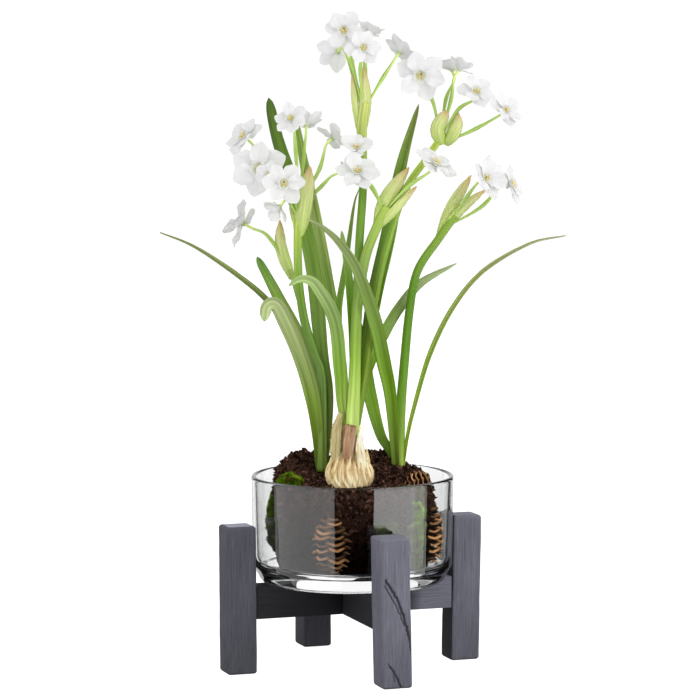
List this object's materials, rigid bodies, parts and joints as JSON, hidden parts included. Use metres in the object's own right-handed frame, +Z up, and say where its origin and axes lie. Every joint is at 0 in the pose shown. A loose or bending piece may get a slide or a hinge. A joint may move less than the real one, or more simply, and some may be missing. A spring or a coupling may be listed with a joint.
{
  "type": "paperwhite in vase",
  "caption": "Paperwhite narcissi in flower, growing from bulbs in mossy soil in a clear glass bowl that rests in a dark timber cross stand.",
  "frame": {"origin": "on the surface that the stand rests on, under the middle of the overall box", "axes": "+Z up, +X to the right and +Y to the back as seen in the picture"},
  "size_m": [0.3075, 0.1976, 0.494],
  "materials": {
    "dark_timber": "matte",
    "glass": "gloss",
    "soil": "matte",
    "moss": "matte",
    "pine_cone": "matte",
    "bulb_skin": "matte",
    "leaf_green": "satin",
    "petal_white": "matte"
  },
  "bodies": {
    "root": {"bulb_front": "bulb_skin", "bulb_left": "bulb_skin", "bulb_right": "bulb_skin", "crossbar_lower": "dark_timber", "crossbar_upper": "dark_timber", "flower_left_1": "petal_white", "flower_left_2": "petal_white", "flower_left_3": "petal_white", "flower_left_4": "petal_white", "flower_left_5": "petal_white", "flower_left_6": "petal_white", "flower_left_7": "petal_white", "flower_left_8": "petal_white", "flower_left_9": "petal_white", "flower_middle_1": "petal_white", "flower_middle_2": "petal_white", "flower_middle_3": "petal_white", "flower_right_1": "petal_white", "flower_right_2": "petal_white", "flower_side_1": "petal_white", "flower_top_1": "petal_white", "flower_top_2": "petal_white", "flower_top_3": "petal_white", "flower_top_4": "petal_white", "flower_top_5": "petal_white", "flower_upper_right_1": "petal_white", "flower_upper_right_2": "petal_white", "flower_upper_right_3": "petal_white", "flower_upper_right_4": "petal_white", "flower_upper_right_5": "petal_white", "glass_bowl": "glass", "leg_back": "dark_timber", "leg_front": "dark_timber", "leg_left": "dark_timber", "leg_right": "dark_timber", "moss_front": "moss", "moss_left": "moss", "moss_right": "moss", "moss_top": "moss", "pine_cone_front": "pine_cone", "pine_cone_right": "pine_cone", "pine_cone_top": "pine_cone", "shoot_front": "leaf_green", "shoot_left": "leaf_green", "shoot_right": "leaf_green", "soil": "soil"}
  },
  "joints": []
}
